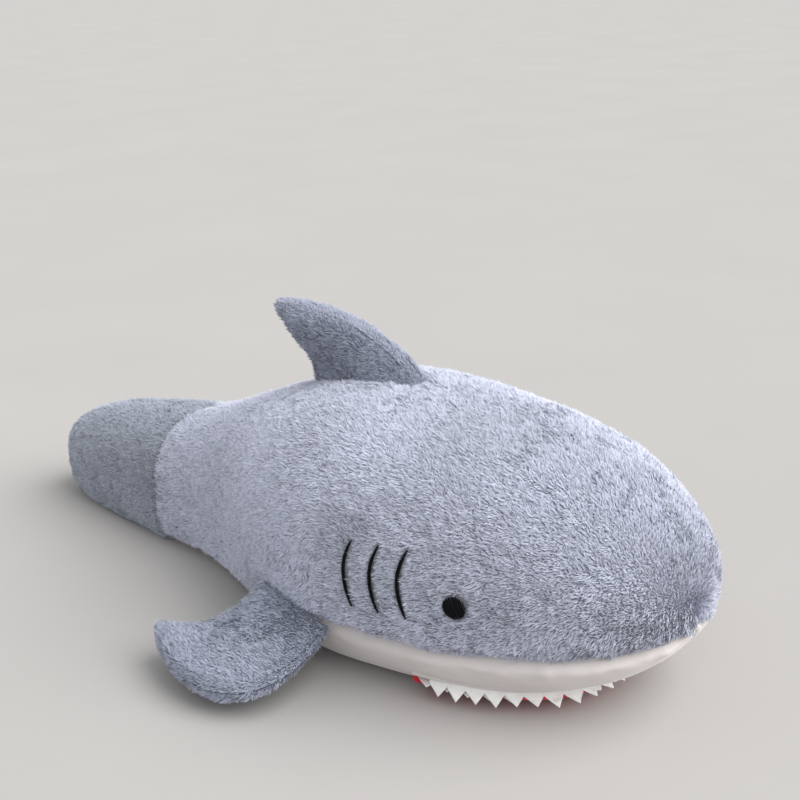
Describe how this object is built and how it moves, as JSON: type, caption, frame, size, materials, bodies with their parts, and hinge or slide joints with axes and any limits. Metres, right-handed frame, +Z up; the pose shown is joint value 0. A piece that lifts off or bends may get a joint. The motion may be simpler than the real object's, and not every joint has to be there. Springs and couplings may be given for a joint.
{
  "type": "plush shark",
  "caption": "Plump soft toy shark in grey fur with a white belly and a felt-toothed mouth, lying on its belly; fins, tail and lower jaw bend at their seams.",
  "frame": {"origin": "centre of the outline on the floor that the shark lies on", "axes": "+X from the tail to the nose, +Y to the shark's left, +Z up"},
  "size_m": [0.8, 0.4814, 0.2779],
  "materials": {
    "grey_fur": "short dense faux fur, blue-grey",
    "fin_fur": "short dense faux fur, darker blue-grey nap",
    "white_plush": "smooth short off-white plush",
    "red_plush": "smooth red plush",
    "white_felt": "stiff white felt, pinked in a zigzag",
    "black_thread": "black satin stitch",
    "stuffing": "loose white polyester fibre"
  },
  "bodies": {
    "body": {"body_stuffing": "stuffing", "back_panel_left": "grey_fur", "back_panel_right": "grey_fur", "belly_panel": "white_plush", "snout_panel_left": "white_plush", "snout_panel_right": "white_plush", "upper_mouth_lining": "red_plush", "upper_teeth": "white_felt", "left_eye": "black_thread", "right_eye": "black_thread", "left_gills": "black_thread", "right_gills": "black_thread"},
    "jaw": {"jaw_stuffing": "stuffing", "jaw_panel": "white_plush", "lower_mouth_lining": "red_plush", "lower_teeth": "white_felt"},
    "left_fin": {"left_fin_stuffing": "stuffing", "left_fin_upper_panel": "fin_fur", "left_fin_lower_panel": "fin_fur"},
    "right_fin": {"right_fin_stuffing": "stuffing", "right_fin_upper_panel": "fin_fur", "right_fin_lower_panel": "fin_fur"},
    "dorsal_fin": {"dorsal_fin_stuffing": "stuffing", "dorsal_fin_left_panel": "fin_fur", "dorsal_fin_right_panel": "fin_fur"},
    "tail": {"tail_stuffing": "stuffing", "tail_panel_left": "fin_fur", "tail_panel_right": "fin_fur"}
  },
  "joints": [
    {"name": "jaw_open", "type": "hinge", "parent": "body", "child": "jaw", "pos_m": [0.2015, 0, 0], "axis": [0, 1, 0], "range_deg": [0, 14]},
    {"name": "left_fin_flap", "type": "hinge", "parent": "body", "child": "left_fin", "pos_m": [0.084, 0.13578, 0.054], "axis": [0.9924, 0.1232, 0], "range_deg": [0, 40]},
    {"name": "right_fin_flap", "type": "hinge", "parent": "body", "child": "right_fin", "pos_m": [0.084, -0.13578, 0.054], "axis": [-0.9924, 0.1232, 0], "range_deg": [0, 40]},
    {"name": "dorsal_fin_sway", "type": "hinge", "parent": "body", "child": "dorsal_fin", "pos_m": [0.058, 0, 0.21865], "axis": [0.986, 0, 0.1666], "range_deg": [-24, 24]},
    {"name": "tail_wag", "type": "hinge", "parent": "body", "child": "tail", "pos_m": [-0.168, 0, 0.066], "axis": [0, 0, 1], "range_deg": [-16, 16]}
  ]
}
